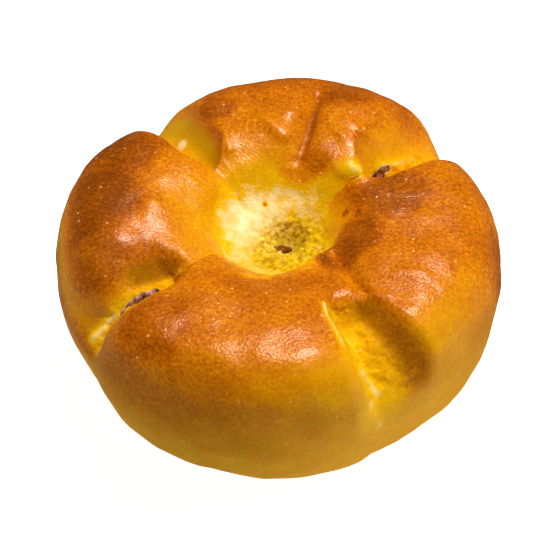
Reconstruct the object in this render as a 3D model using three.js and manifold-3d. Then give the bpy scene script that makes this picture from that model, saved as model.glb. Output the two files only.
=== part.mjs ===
// Flower-shaped bean bun: one baked dough whose top is cut into four petals round a pressed pit,
// wrapped round bean paste that shows through tears in two of the slits and at the bottom of the pit.
// Millimetres, +Z up. The origin is the centre of the flat base, +X is right and -Y is the front.

import * as THREE from 'three';
import { mergeVertices } from 'three/addons/utils/BufferGeometryUtils.js';
import Module from 'manifold-3d';

const { lerp, smoothstep, degToRad, euclideanModulo } = THREE.MathUtils;

// Round body, before the petals swell and the slits are cut
const BODY_RADIUS = 50;
const BODY_HEIGHT = 42.4;
const EQUATOR_HEIGHT = 27; // where the body is widest
const CREST_RADIUS = 31; // ring of the highest points
const FUNNEL_HEIGHT = 37.5; // middle of the top, before the pit is pressed in
const FOOT_RADIUS = 33; // flat base

// How far each curve of the section keeps its direction: 0 is a straight slope, 1 a square corner
const SHOULDER_FULLNESS = { crest: 0.685, side: 0.715 };
const UNDERSIDE_FULLNESS = { side: 0.525, foot: 0.54 };
const FUNNEL_FULLNESS = { centre: 0.45, crest: 0.38 };

// Ring inside the dough that the petals swell away from and the slits cut towards
const CORE = { radius: 18, height: 16 };

// Slits, anticlockwise from the back right one. Angles are in degrees from +X.
// opens: radius where the slit starts; closes: height where it ends, faded in over the height above that;
// before, after: how wide (degrees) and how round the petal's shoulder is, clockwise and anticlockwise of it;
// turnIn, turnOut: how far (degrees) the slit bends at its inner and its outer end.
const SLITS = [
  {
    azimuth: 36.5, depth: 9.5, opens: 25.5, closes: 22, fade: 15, turnIn: 2, turnOut: 0,
    before: { width: 7, roundness: 1.8 }, after: { width: 15, roundness: 1.3 },
  },
  {
    azimuth: 130.5, depth: 10.5, opens: 25.5, closes: 19, fade: 15, turnIn: -2, turnOut: 0,
    before: { width: 13.5, roundness: 1.25 }, after: { width: 7, roundness: 1.8 },
  },
  {
    azimuth: 215, depth: 9.5, opens: 25.5, closes: 24, fade: 11, turnIn: -2, turnOut: -2,
    before: { width: 14, roundness: 1.25 }, after: { width: 7, roundness: 1.8 },
  },
  {
    azimuth: 295.5, depth: 8, opens: 24, closes: 14, fade: 15, turnIn: 10, turnOut: 2,
    before: { width: 8, roundness: 1.25 }, after: { width: 18, roundness: 1.2 },
  },
];
const SLIT_MOUTH = { inside: 2.5, outside: 4 }; // over this length a slit deepens, each side of opens
const SLIT_TURN_RADIUS = [16, 30]; // turnIn fades out over this range
// Seam from each slit to the pit; its width is a share of the slit's
const SEAM = { depth: 1.5, radius: [10, 14], width: 0.45 };

// Petals, each after the slit of the same place in the list: swell at the middle, and lean to one side
const PETALS = [
  { swell: 4.8, lean: -1.8 }, // back
  { swell: 2.2, lean: -2.3 }, // left
  { swell: 2.2, lean: 1 }, // front
  { swell: 1.3, lean: 1.3 }, // right
];
const PETAL_SQUARENESS = 4; // power that keeps the swell full until close to the slits
const SWELL_HEIGHT = [0, 14]; // the base doesn't swell
const SWELL_RADIUS = [8, 22]; // nor does the pit

// Fold that parts the back petal into two lobes
const FOLD = { azimuth: 77, depth: 3.2, halfWidth: 2.6, radius: [10, 18], height: [39.5, BODY_HEIGHT] };

// Pit pressed into the middle: flat inside the first radius, gone at the second
const PIT = { wall: [11, 17.3], depth: 4, x: -0.5, y: 1.5, shiftRadius: [10, 28] };

// Small hole in the pit's middle: a dimple, and a bore from its bottom down to the paste
const HOLE = { wall: [0.7, 3.5], depth: 5, boreRadius: 1.5, boreTop: 36, boreBottom: 24 };

// Bean paste: a cake that is low under the pit and high under the petals
const PASTE = {
  radius: 39, rimHeight: 25, bottom: 17, flatRadius: 24, top: 34, crestRadius: 26, centreTop: 25.5,
};
const PASTE_FULLNESS = { underside: 0.6, side: 0.7, crest: 0.6, dipCrest: 0.5, dipCentre: 0.4 };
const PASTE_CLEARANCE = 0.3; // between the paste and the dough round it

// Tears that open two of the slits down to the paste, each a lens whose middle has this place
const TEARS = [
  { azimuth: 211.5, radius: 36, height: 34.5, length: 11, width: 3, depth: 11 }, // front left
  { azimuth: 41, radius: 32, height: 35.5, length: 7, width: 2.6, depth: 11 }, // back right
];
const TEAR_SLOPE = 18; // degrees that a tear falls outwards

// Fineness of the meshes
const COLUMNS_PER_PETAL = 26;
const COLUMN_CROWDING = 0.65; // how far columns are drawn from the petals' middles to the slits
const ROWS = { underside: 9, shoulder: 12, funnel: 15 };
const FUNNEL_CROWDING = 1.3; // draws rows to the pit's middle
const PASTE_COLUMNS = 48;
const PASTE_ROWS = 6; // in each of its three curves
const LENS_SIDES = 16;
const LENS_ROWS = 10;
const BORE_SIDES = 12;

const wasm = await Module();
wasm.setup();

/** Points along a cubic curve with four [radius, height] control points, without its last point. */
function curvePoints(pairs, count, crowding = 1) {
  const curve = new THREE.CubicBezierCurve(...pairs.map((pair) => new THREE.Vector2(...pair)));
  return Array.from({ length: count }, (_, i) => curve.getPoint(1 - (1 - i / count) ** crowding));
}

/** Closed mesh of a geometry: only positions, with shared vertices merged and no empty triangle. */
function closedMesh(geometry) {
  geometry.deleteAttribute('normal');
  geometry.deleteAttribute('uv');
  const merged = mergeVertices(geometry);
  const corners = merged.getIndex().array;
  const kept = [];
  for (let i = 0; i < corners.length; i += 3) {
    const [a, b, c] = corners.slice(i, i + 3);
    if (a !== b && b !== c && c !== a) kept.push(a, b, c);
  }
  merged.setIndex(kept);
  return merged;
}

/** Closed body of revolution about +Z, from a section that runs from the axis below to the axis on top. */
function revolve(section, columns) {
  return closedMesh(new THREE.LatheGeometry(section, columns).rotateX(Math.PI / 2));
}

function solidOf(geometry) {
  return new wasm.Manifold(new wasm.Mesh({
    numProp: 3,
    vertProperties: geometry.getAttribute('position').array,
    triVerts: new Uint32Array(geometry.getIndex().array),
  }));
}

function geometryOf(solid) {
  const { vertProperties, triVerts } = solid.getMesh();
  const geometry = new THREE.BufferGeometry();
  geometry.setAttribute('position', new THREE.BufferAttribute(vertProperties, 3));
  geometry.setIndex(new THREE.BufferAttribute(triVerts, 1));
  geometry.computeVertexNormals();
  return geometry;
}

/** Section of the round body: base, underside, shoulder and the funnel down to the middle of the top. */
function bodySection() {
  const underside = [
    [FOOT_RADIUS, 0],
    [lerp(FOOT_RADIUS, BODY_RADIUS, UNDERSIDE_FULLNESS.foot), 0],
    [BODY_RADIUS, lerp(EQUATOR_HEIGHT, 0, UNDERSIDE_FULLNESS.side)],
    [BODY_RADIUS, EQUATOR_HEIGHT],
  ];
  const shoulder = [
    [BODY_RADIUS, EQUATOR_HEIGHT],
    [BODY_RADIUS, lerp(EQUATOR_HEIGHT, BODY_HEIGHT, SHOULDER_FULLNESS.side)],
    [lerp(CREST_RADIUS, BODY_RADIUS, SHOULDER_FULLNESS.crest), BODY_HEIGHT],
    [CREST_RADIUS, BODY_HEIGHT],
  ];
  const funnel = [
    [CREST_RADIUS, BODY_HEIGHT],
    [lerp(CREST_RADIUS, 0, FUNNEL_FULLNESS.crest), BODY_HEIGHT],
    [lerp(0, CREST_RADIUS, FUNNEL_FULLNESS.centre), FUNNEL_HEIGHT],
    [0, FUNNEL_HEIGHT],
  ];
  return [
    new THREE.Vector2(0, 0),
    new THREE.Vector2(FOOT_RADIUS / 2, 0),
    ...curvePoints(underside, ROWS.underside),
    ...curvePoints(shoulder, ROWS.shoulder),
    ...curvePoints(funnel, ROWS.funnel, FUNNEL_CROWDING),
    new THREE.Vector2(0, FUNNEL_HEIGHT),
  ];
}

/** Signed angle in degrees, from -180 to 180, from the reference to the azimuth. */
function angleFrom(reference, azimuth) {
  return euclideanModulo(azimuth - reference + 180, 360) - 180;
}

/** The petal at a share of a full turn, with columns crowded to the slits on each side of it. */
function petalAt(turn) {
  const step = euclideanModulo(turn, 1) * SLITS.length;
  const count = Math.floor(step);
  const slit = SLITS[count];
  const next = SLITS[(count + 1) % SLITS.length];
  const even = 2 * (step - count) - 1;
  const place = lerp(even, Math.sin(even * Math.PI / 2), COLUMN_CROWDING);
  const span = euclideanModulo(next.azimuth - slit.azimuth, 360);
  return { petal: PETALS[count], slit, next, place, azimuth: slit.azimuth + span * (place + 1) / 2 };
}

/** How deep a slit, and the seam from it to the pit, cuts at a point of the body. */
function slitCut(slit, radius, height, azimuth, onTop) {
  const open = onTop
    ? smoothstep(radius, slit.opens - SLIT_MOUTH.inside, slit.opens + SLIT_MOUTH.outside)
    : smoothstep(height, slit.closes, slit.closes + slit.fade);
  const seam = onTop ? smoothstep(radius, ...SEAM.radius) : open;
  const angle = angleFrom(slit.azimuth, azimuth);
  const { width, roundness } = angle < 0 ? slit.before : slit.after;
  const nearness = Math.max(0, 1 - Math.abs(angle) / (width * lerp(SEAM.width, 1, open)));
  const share = 1 - (1 - nearness ** roundness) ** (1 / roundness);
  return share * lerp(SEAM.depth * seam, slit.depth, open);
}

function foldCut(radius, height, azimuth, onTop) {
  const distance = degToRad(angleFrom(FOLD.azimuth, azimuth)) * radius;
  const along = onTop ? smoothstep(radius, ...FOLD.radius) : smoothstep(height, ...FOLD.height);
  return FOLD.depth * along * Math.exp(-((distance / FOLD.halfWidth) ** 2));
}

/** Depth of the pit and of the dimple in its middle, at a distance from its centre. */
function pitDepth(radius) {
  const pit = 1 - smoothstep(radius, ...PIT.wall);
  const dimple = 1 - smoothstep(radius, ...HOLE.wall);
  return PIT.depth * pit + HOLE.depth * dimple;
}

/** Bend of the slits, in degrees, shared out over the petal between two of them. */
function slitTurn(slit, next, place, radius, height, onTop) {
  const share = (place + 1) / 2;
  if (onTop) return lerp(slit.turnIn, next.turnIn, share) * (1 - smoothstep(radius, ...SLIT_TURN_RADIUS));
  const outward = height < EQUATOR_HEIGHT ? 1 : smoothstep(radius, CREST_RADIUS, BODY_RADIUS);
  return lerp(slit.turnOut, next.turnOut, share) * outward;
}

/** Point of the bun's skin for a point of the round body. */
function skinPoint(radius, height, turn) {
  const onTop = height > EQUATOR_HEIGHT && radius <= CREST_RADIUS;
  const { petal, slit, next, place, azimuth } = petalAt(turn);
  const slits = [slit, next].map((one) => slitCut(one, radius, height, azimuth, onTop));
  const cut = Math.max(...slits) + foldCut(radius, height, azimuth, onTop);
  const swell = (petal.swell + petal.lean * place) * (1 - place ** PETAL_SQUARENESS)
    * smoothstep(height, ...SWELL_HEIGHT) * smoothstep(radius, ...SWELL_RADIUS);
  const inward = new THREE.Vector2(CORE.radius - radius, CORE.height - height).setLength(cut - swell);
  const reach = radius + inward.x;
  const angle = degToRad(azimuth + slitTurn(slit, next, place, radius, height, onTop));
  const skin = new THREE.Vector3(reach * Math.cos(angle), reach * Math.sin(angle), height + inward.y);
  if (onTop) {
    const shift = 1 - smoothstep(radius, ...PIT.shiftRadius);
    skin.add(new THREE.Vector3(PIT.x * shift, PIT.y * shift, -pitDepth(radius)));
  }
  return skin;
}

/** The dough as one closed skin, with nothing inside it yet. */
function doughSkin() {
  const skin = revolve(bodySection(), COLUMNS_PER_PETAL * SLITS.length);
  const position = skin.getAttribute('position');
  for (let i = 0; i < position.count; i++) {
    const radius = Math.hypot(position.getX(i), position.getY(i));
    const turn = Math.atan2(position.getY(i), position.getX(i)) / (2 * Math.PI);
    position.setXYZ(i, ...skinPoint(radius, position.getZ(i), turn));
  }
  return skin;
}

/** The bean paste, or with a clearance the room for it. */
function pasteCake(clearance = 0) {
  const { flatRadius, crestRadius, rimHeight } = PASTE;
  const { underside, side, crest, dipCrest, dipCentre } = PASTE_FULLNESS;
  const radius = PASTE.radius + clearance;
  const bottom = PASTE.bottom - clearance;
  const top = PASTE.top + clearance;
  const centreTop = PASTE.centreTop + clearance;
  const curves = [
    [[flatRadius, bottom], [lerp(flatRadius, radius, underside), bottom],
      [radius, lerp(rimHeight, bottom, underside)], [radius, rimHeight]],
    [[radius, rimHeight], [radius, lerp(rimHeight, top, side)],
      [lerp(crestRadius, radius, crest), top], [crestRadius, top]],
    [[crestRadius, top], [lerp(crestRadius, 0, dipCrest), top],
      [lerp(0, crestRadius, dipCentre), centreTop], [0, centreTop]],
  ];
  return revolve([
    new THREE.Vector2(0, bottom),
    ...curves.flatMap((curve) => curvePoints(curve, PASTE_ROWS)),
    new THREE.Vector2(0, centreTop),
  ], PASTE_COLUMNS);
}

/** Lens-shaped opening along a slit. */
function tear({ azimuth, radius, height, length, width, depth }) {
  const lens = new THREE.SphereGeometry(1, LENS_SIDES, LENS_ROWS);
  lens.scale(length / 2, width / 2, depth / 2);
  lens.rotateY(degToRad(TEAR_SLOPE));
  lens.translate(radius, 0, height);
  lens.rotateZ(degToRad(azimuth));
  return closedMesh(lens);
}

/** Bore from the dimple in the pit down to the paste. */
function pitBore() {
  const { boreRadius, boreTop, boreBottom } = HOLE;
  const bore = new THREE.CylinderGeometry(boreRadius, boreRadius, boreTop - boreBottom, BORE_SIDES);
  bore.rotateX(Math.PI / 2);
  bore.translate(PIT.x, PIT.y, (boreTop + boreBottom) / 2);
  return closedMesh(bore);
}

function dough() {
  const openings = [pasteCake(PASTE_CLEARANCE), ...TEARS.map(tear), pitBore()];
  const solid = openings.reduce((rest, opening) => rest.subtract(solidOf(opening)), solidOf(doughSkin()));
  const crust = new THREE.MeshStandardMaterial({ color: '#c1690a', roughness: 0.4, metalness: 0 });
  const mesh = new THREE.Mesh(geometryOf(solid), crust);
  mesh.name = 'dough';
  return mesh;
}

function beanFilling() {
  const paste = new THREE.MeshStandardMaterial({ color: '#4b2318', roughness: 0.6, metalness: 0 });
  const mesh = new THREE.Mesh(pasteCake(), paste);
  mesh.name = 'bean_filling';
  return mesh;
}

const bun = new THREE.Group();
bun.add(dough(), beanFilling());

export default bun;
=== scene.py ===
"""Blender dressing of a flower-shaped bean bun.

A round bun of egg-washed dough, cut from above into four petals round a pressed pit and wrapped round bean
paste, which shows through tears in two of the slits. Shapes are worked out in millimetres and written to
the meshes in metres. +Z is up, +X is right and -Y is the front.
"""

import logging
import math
from collections import Counter
from dataclasses import dataclass, replace
from enum import Enum

import bmesh
import bpy
import numpy as np
from mathutils import Matrix, Vector, noise


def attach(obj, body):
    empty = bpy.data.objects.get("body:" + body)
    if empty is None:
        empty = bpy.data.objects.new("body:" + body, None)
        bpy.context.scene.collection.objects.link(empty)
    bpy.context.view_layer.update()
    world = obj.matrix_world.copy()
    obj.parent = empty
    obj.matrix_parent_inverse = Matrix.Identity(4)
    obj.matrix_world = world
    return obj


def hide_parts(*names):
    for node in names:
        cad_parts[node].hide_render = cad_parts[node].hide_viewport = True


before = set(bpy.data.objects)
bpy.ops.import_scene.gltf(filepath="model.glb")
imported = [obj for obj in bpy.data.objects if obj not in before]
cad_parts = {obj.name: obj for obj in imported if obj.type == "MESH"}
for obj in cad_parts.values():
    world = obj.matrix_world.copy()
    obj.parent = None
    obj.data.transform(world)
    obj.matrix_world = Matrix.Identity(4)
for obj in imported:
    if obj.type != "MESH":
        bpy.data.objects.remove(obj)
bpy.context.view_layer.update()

LOG = logging.getLogger("bean_bun")
MM = 0.001
WELD = 0.0001  # mm, vertices nearer than this are one
FOAM_RISE = 1.6  # how steeply foam rises from the walls between its bubbles
WHITE = (1.0, 1.0, 1.0, 1.0)

Values = np.ndarray
Pair = tuple[float, float]
Point = tuple[float, float, float]
Colours = tuple[tuple[float, str], ...]
Inputs = dict[str | int, object]
Socket = bpy.types.NodeSocket
Material = bpy.types.Material
Mesh = bpy.types.Mesh
Piece = bpy.types.Object
Shape = bmesh.types.BMesh


class Tint(Enum):
    """Per-vertex values that the dough's finish reads."""

    BAKE = "bake"  # 0 is raw dough, 1 is brown crust, and more is darker, mostly painted shade
    CRUMB = "crumb"  # 1 where the dough has torn open
    SHADE_AND_MATTE = "damp"  # 1 where painted shade darkens the colour most; the same mask makes the skin matte
    SPONGE = "sponge"  # 1 in the wet, spongy side of the pit
    WRINKLE = "wrinkle"  # how strongly the skin has puckered
    GRAIN = "grain"  # coordinates that run round the bun and out from its middle


class Cut(Enum):
    """What a Boolean does with its second shape."""

    TAKE_AWAY = "DIFFERENCE"
    ADD = "UNION"


def smooth(values: Values, low: float, high: float) -> Values:
    """Smooth step from 0 for values up to low to 1 for values from high."""
    share = np.clip((values - low) / (high - low), 0.0, 1.0)
    return share * share * (3.0 - 2.0 * share)


def lerp(start: Values, end: Values, share: Values) -> Values:
    """Value between start and end at a share of the way."""
    return start + (end - start) * share


def bell(distance: Values, width: float) -> Values:
    """Bell curve that is 1 at no distance and falls softly over this width."""
    return np.exp(-((distance / width) ** 2))


def reach(points: Values, middle: Pair) -> Values:
    """How far points lie from an upright line through a middle, in millimetres."""
    return np.hypot(points[:, 0] - middle[0], points[:, 1] - middle[1])


def pick(items: tuple[object, ...], value: str, which: Values) -> Values:
    """A value of one of the items for each vertex."""
    return np.array([getattr(item, value) for item in items])[which]


def lumps(points: Values, size: float, seed: float, octaves: int = 2) -> Values:
    """Soft noise of about -1 to 1 over points, with lumps that are this many millimetres apart."""
    shift = Vector((seed, 2.0 * seed, -seed))
    return np.array([noise.fractal(Vector(point) / size + shift, 1.0, 2.0, octaves) for point in points])


def bubbles(points: Values, size: float, seed: float) -> Values:
    """Foam over points.

    Args:
        points: one row of millimetres for each point.
        size: how far apart the bubbles are, in millimetres.
        seed: shifts the pattern.

    Returns:
        0 on the walls between bubbles, rising towards 1 inside them.
    """
    shift = Vector((seed, 2.0 * seed, -seed))
    nearest = [noise.voronoi(Vector(point) / size + shift)[0] for point in points]
    return np.array([min(1.0, FOAM_RISE * (second - first)) for first, second, *_ in nearest])


def curve_points(controls: list[Pair], count: int) -> list[Vector]:
    """Points along a cubic curve of a section.

    Args:
        controls: four control points, each a radius and a height.
        count: how many points are taken; the curve's last point isn't one of them.

    Returns:
        The points in the XZ plane.
    """
    points = []
    for step in range(count):
        at = step / count
        weights = ((1 - at) ** 3, 3 * (1 - at) ** 2 * at, 3 * (1 - at) * at**2, at**3)
        radius = sum(weight * control[0] for weight, control in zip(weights, controls))
        height = sum(weight * control[1] for weight, control in zip(weights, controls))
        points.append(Vector((radius, 0.0, height)))
    return points


def revolve(section: list[Vector], columns: int) -> Shape:
    """Closed body of revolution about +Z.

    Args:
        section: points from the axis below to the axis on top.
        columns: how many steps the spin takes.

    Returns:
        The body, with its seam and poles merged and its faces pointing outwards.
    """
    body = bmesh.new()
    verts = [body.verts.new(point) for point in section]
    edges = [body.edges.new(pair) for pair in zip(verts, verts[1:])]
    about = {"cent": (0, 0, 0), "axis": (0, 0, 1)}
    bmesh.ops.spin(body, geom=verts + edges, **about, angle=2 * math.pi, steps=columns, use_merge=True)
    bmesh.ops.remove_doubles(body, verts=body.verts, dist=WELD)
    bmesh.ops.recalc_face_normals(body, faces=body.faces)
    return body


def finished(shape: Shape, name: str, materials: list[Material]) -> Piece:
    """Turns a shape in millimetres into an object in metres, and frees the shape.

    Args:
        shape: the shape.
        name: the object's name.
        materials: its material slots, in order.

    Returns:
        The object, smooth shaded and linked to the scene.
    """
    bmesh.ops.scale(shape, vec=(MM, MM, MM), verts=shape.verts)
    mesh = bpy.data.meshes.new(name)
    shape.to_mesh(mesh)
    shape.free()
    mesh.shade_smooth()
    for material in materials:
        mesh.materials.append(material)
    piece = bpy.data.objects.new(name, mesh)
    bpy.context.scene.collection.objects.link(piece)
    return piece


def combine(piece: Piece, other: Piece, cut: Cut) -> None:
    """Applies a Boolean to a piece, and deletes the other object.

    Args:
        piece: the object that is changed.
        other: the object that is taken away from it or added to it.
        cut: which of the two is done.
    """
    modifier = piece.modifiers.new("combine", "BOOLEAN")
    modifier.operation = cut.value
    modifier.object = other
    modifier.solver = "MANIFOLD"
    before = piece.data
    piece.data = bpy.data.meshes.new_from_object(piece.evaluated_get(bpy.context.evaluated_depsgraph_get()))
    piece.data.name = piece.name
    piece.modifiers.clear()
    bpy.data.meshes.remove(before)
    bpy.data.meshes.remove(other.data)


def weld(mesh: Mesh) -> None:
    """Takes away what Booleans leave in a mesh: doubled vertices and pairs of faces back to back.

    Args:
        mesh: the mesh, in metres.
    """
    shape = bmesh.new()
    shape.from_mesh(mesh)
    bmesh.ops.triangulate(shape, faces=shape.faces)
    bmesh.ops.remove_doubles(shape, verts=shape.verts, dist=WELD * MM)
    corners = [frozenset(face.verts) for face in shape.faces]
    times = Counter(corners)
    doubled = [face for face, verts in zip(shape.faces, corners) if times[verts] > 1]
    bmesh.ops.delete(shape, geom=doubled, context="FACES")
    shape.to_mesh(mesh)
    shape.free()


def read(items: bpy.types.bpy_prop_collection, name: str) -> Values:
    """Reads a vector from each of a mesh's items.

    Args:
        items: the items, such as vertices.
        name: the vector's name.

    Returns:
        One row for each item.
    """
    flat = np.empty(len(items) * 3)
    items.foreach_get(name, flat)
    return flat.reshape(-1, 3)


def move(mesh: Mesh, points: Values) -> None:
    """Moves a mesh's vertices to points in millimetres."""
    mesh.vertices.foreach_set("co", (points * MM).ravel())
    mesh.update()


def linear(colour: str) -> tuple[float, float, float, float]:
    """Linear colour with full opacity of an sRGB hex colour such as "#c1690a"."""
    channels = [int(colour[start : start + 2], 16) / 255 for start in (1, 3, 5)]
    return (*(c / 12.92 if c <= 0.04045 else ((c + 0.055) / 1.055) ** 2.4 for c in channels), 1.0)


class Nodes:
    """Node material in the making, whose patterns lie in its piece's own coordinates."""

    def __init__(self, name: str) -> None:
        """Starts an empty material.

        Args:
            name: its name.
        """
        self.material = bpy.data.materials.new(name)
        self.material.use_nodes = True
        self.material.node_tree.nodes.clear()
        self.place = self.add("TexCoord").outputs["Object"]

    def add(self, kind: str, inputs: Inputs | None = None, **settings: object) -> bpy.types.Node:
        """Adds a node.

        Args:
            kind: the shader node's type.
            inputs: what goes into its sockets: a value, or another node's socket to link.
            settings: the node's own properties.

        Returns:
            The node.
        """
        node = self.material.node_tree.nodes.new(f"ShaderNode{kind}")
        for name, value in settings.items():
            setattr(node, name, value)
        for name, value in (inputs or {}).items():
            if isinstance(value, Socket):
                self.material.node_tree.links.new(value, node.inputs[name])
            else:
                node.inputs[name].default_value = value
        return node

    def attribute(self, tint: Tint) -> Socket:
        """Value that the mesh holds for each vertex."""
        return self.add("Attribute", attribute_name=tint.value).outputs["Fac"]

    def noise(self, size: float, detail: float = 2.0) -> Socket:
        """Soft noise with lumps of this size, in millimetres."""
        inputs = {"Vector": self.place, "Scale": 1 / (size * MM), "Detail": detail}
        return self.add("TexNoise", inputs).outputs["Fac"]

    def cells(self, size: float) -> bpy.types.Node:
        """Round cells that are this many millimetres apart."""
        return self.add("TexVoronoi", {"Vector": self.place, "Scale": 1 / (size * MM)})

    def maths(self, operation: str, *values: Socket | float) -> Socket:
        """Result of an operation on these values."""
        return self.add("Math", dict(enumerate(values)), operation=operation).outputs[0]

    def spread(self, value: Socket, start: Pair = (0.0, 1.0), end: Pair = (0.0, 1.0)) -> Socket:
        """Value carried over from one range to another, and kept within that."""
        limits = zip(("From Min", "From Max", "To Min", "To Max"), (*start, *end))
        return self.add("MapRange", {"Value": value, **dict(limits)}).outputs["Result"]

    def mix(self, share: Socket, under: Socket, over: str, blend: str = "MIX") -> Socket:
        """Colour with a share of a hex colour laid over it."""
        inputs = {0: share, 6: under, 7: linear(over)}
        return self.add("Mix", inputs, data_type="RGBA", blend_type=blend).outputs[2]

    def ramp(self, share: Socket, colours: Colours) -> Socket:
        """Colour at a share of the way along a run of colours.

        Args:
            share: where to read it, from 0 to 1.
            colours: the places from 0 to 1 and their hex colours.

        Returns:
            The colour.
        """
        node = self.add("ValToRGB", {"Fac": share})
        stops = node.color_ramp.elements
        for place, (at, colour) in enumerate(colours):
            stop = stops[place] if place < len(stops) else stops.new(at)
            stop.position = at
            stop.color = linear(colour)
        return node.outputs["Color"]

    def bump(self, height: Socket, depth: float, **others: Socket) -> Socket:
        """Normal of a relief that is this many millimetres deep; its other inputs go by name."""
        inputs = {"Height": height, "Distance": depth * MM, "Strength": 1.0, **others}
        return self.add("Bump", inputs).outputs["Normal"]

    def finished(self, surface: Inputs) -> Material:
        """Closes the material with its surface.

        Args:
            surface: what goes into the surface shader's sockets.

        Returns:
            The material.
        """
        shader = self.add("BsdfPrincipled", surface)
        self.add("OutputMaterial", {"Surface": shader.outputs["BSDF"]})
        return self.material


@dataclass(frozen=True)
class CrustFinish:
    """Egg-washed bread crust.

    Baked egg wash gives a thin glossy film over a skin with a fine orange-peel grain. The crust browns most
    on the petals, stays golden low on the flank and towards the pit, and is pale and matte where dough tore.
    Painted shade darkens its colour where little light falls, and the same mask makes the skin matte.
    """

    name: str = "Egg-washed bread crust"
    browning: Colours = (
        (0.0, "#fae4ac"),
        (0.2, "#edb800"),
        (0.4, "#e49d00"),
        (0.6, "#dc8600"),
        (0.8, "#cc7000"),
        (1.0, "#b65b00"),
        (1.2, "#9a4b00"),
        (1.4, "#7e3b00"),
    )
    darkest: float = 1.4  # the bake of the last of these colours
    speck_colour: str = "#f2b45a"
    sponge_colour: str = "#edc70f"
    sponge_share: float = 0.7  # how much of that colour the sponge takes on
    foam_shade_colour: str = "#d2c48c"  # painted shade: what the sponge's colour is multiplied by between its bubbles
    foam_size: float = 1.3  # mm
    foam_walls: Pair = (0.3, 0.75)  # how far from its bubbles' middles that starts and is full
    painted_shade_colour: str = "#b8bb8c"  # painted shade: what the colour is multiplied by where the skin is shaded
    mottle: float = 0.5  # how much the browning differs from patch to patch
    mottle_size: float = 7.0  # mm
    fleck: float = 1.1  # how much it differs in the fine grain of the patches
    fleck_size: float = 0.75  # mm
    uneven: Pair = (0.1, 0.8)  # the bakes from and to which the browning grows uneven
    least_uneven: float = 0.06  # share of the unevenness on pale dough
    speck_spacing: float = 2.5  # mm between the small pale blisters
    speck_radius: Pair = (0.2, 0.4)  # mm, from and to which a blister fades
    peel_size: float = 0.6  # mm, orange-peel grain, a little coarser than the real one so that it shows
    peel_depth: float = 0.11  # mm
    pucker_depth: float = 0.16  # mm, wrinkles that run out from the pit
    torn_size: float = 0.8  # mm, open grain of torn dough
    torn_depth: float = 0.25  # mm
    sheen_tint: str = "#ff9a50"  # the crust's own broad shine is warm
    skin_roughness: float = 0.4
    crumb_roughness: float = 0.9
    glaze: float = 0.34  # how much of the skin the dried egg wash seals
    glaze_ends: float = 0.5  # how matte the dough is where no egg wash is left
    glaze_roughness: float = 0.25

    def material(self) -> Material:
        """Builds the node material.

        Returns:
            The material.
        """
        nodes = Nodes(self.name)
        crumb = nodes.attribute(Tint.CRUMB)
        damp = nodes.attribute(Tint.SHADE_AND_MATTE)
        matte = nodes.maths("MAXIMUM", crumb, damp)
        blister = self.blisters(nodes, matte)
        # painted shade: the colour is multiplied down by the shade mask
        shaded = nodes.mix(damp, self.sponged(nodes, self.browned(nodes)), self.painted_shade_colour, "MULTIPLY")
        relief = self.relief(nodes, blister, crumb)
        return nodes.finished({
            "Base Color": nodes.mix(blister, shaded, self.speck_colour),
            "Roughness": nodes.spread(matte, end=(self.skin_roughness, self.crumb_roughness)),
            "Normal": relief,
            "IOR": 1.7,
            "Specular IOR Level": 0.3,
            "Specular Tint": linear(self.sheen_tint),
            "Coat Weight": nodes.spread(matte, (0.0, self.glaze_ends), (self.glaze, 0.0)),
            "Coat Roughness": self.glaze_roughness,
            "Coat Normal": relief,
            "Subsurface Weight": 0.15,
            "Subsurface Radius": (1.0, 0.4, 0.12),
            "Subsurface Scale": 2.0 * MM,
        })

    def browned(self, nodes: Nodes) -> Socket:
        """Colour of the browning, even on pale dough and flecked on brown crust.

        Args:
            nodes: the material in the making.

        Returns:
            The colour.
        """
        bake = nodes.attribute(Tint.BAKE)
        mottle = nodes.noise(self.mottle_size, 3.0)
        patches = nodes.maths("MULTIPLY_ADD", mottle, self.mottle, -self.mottle / 2)
        flecks = nodes.maths("MULTIPLY_ADD", nodes.noise(self.fleck_size), self.fleck, -self.fleck / 2)
        settled = nodes.spread(bake, self.uneven, (self.least_uneven, 1.0))
        level = nodes.maths("MULTIPLY_ADD", nodes.maths("ADD", patches, flecks), settled, bake)
        share = nodes.maths("DIVIDE", level, self.darkest)
        return nodes.ramp(share, tuple((at / self.darkest, colour) for at, colour in self.browning))

    def sponged(self, nodes: Nodes, browned: Socket) -> Socket:
        """Colour with the wet sponge of the pit, with painted shade between its bubbles.

        Args:
            nodes: the material in the making.
            browned: the colour without it.

        Returns:
            The colour.
        """
        sponge = nodes.attribute(Tint.SPONGE)
        spongy = nodes.mix(nodes.maths("MULTIPLY", sponge, self.sponge_share), browned, self.sponge_colour)
        walls = nodes.spread(nodes.cells(self.foam_size).outputs["Distance"], self.foam_walls)
        return nodes.mix(nodes.maths("MULTIPLY", walls, sponge), spongy, self.foam_shade_colour, "MULTIPLY")

    def blisters(self, nodes: Nodes, matte: Socket) -> Socket:
        """Small blisters in the glazed skin, some plainer than others.

        Args:
            nodes: the material in the making.
            matte: how far the skin is from being glazed.

        Returns:
            How plain they are, from 0 to 1.
        """
        cell = nodes.cells(self.speck_spacing)
        core, edge = (radius / self.speck_spacing for radius in self.speck_radius)
        speck = nodes.spread(cell.outputs["Distance"], (core, edge), (1.0, 0.0))
        chance = nodes.add("SeparateColor", {"Color": cell.outputs["Color"]}).outputs["Red"]
        likely = nodes.maths("MULTIPLY", chance, nodes.maths("SUBTRACT", 1.0, matte))
        return nodes.maths("MULTIPLY", speck, likely)

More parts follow.
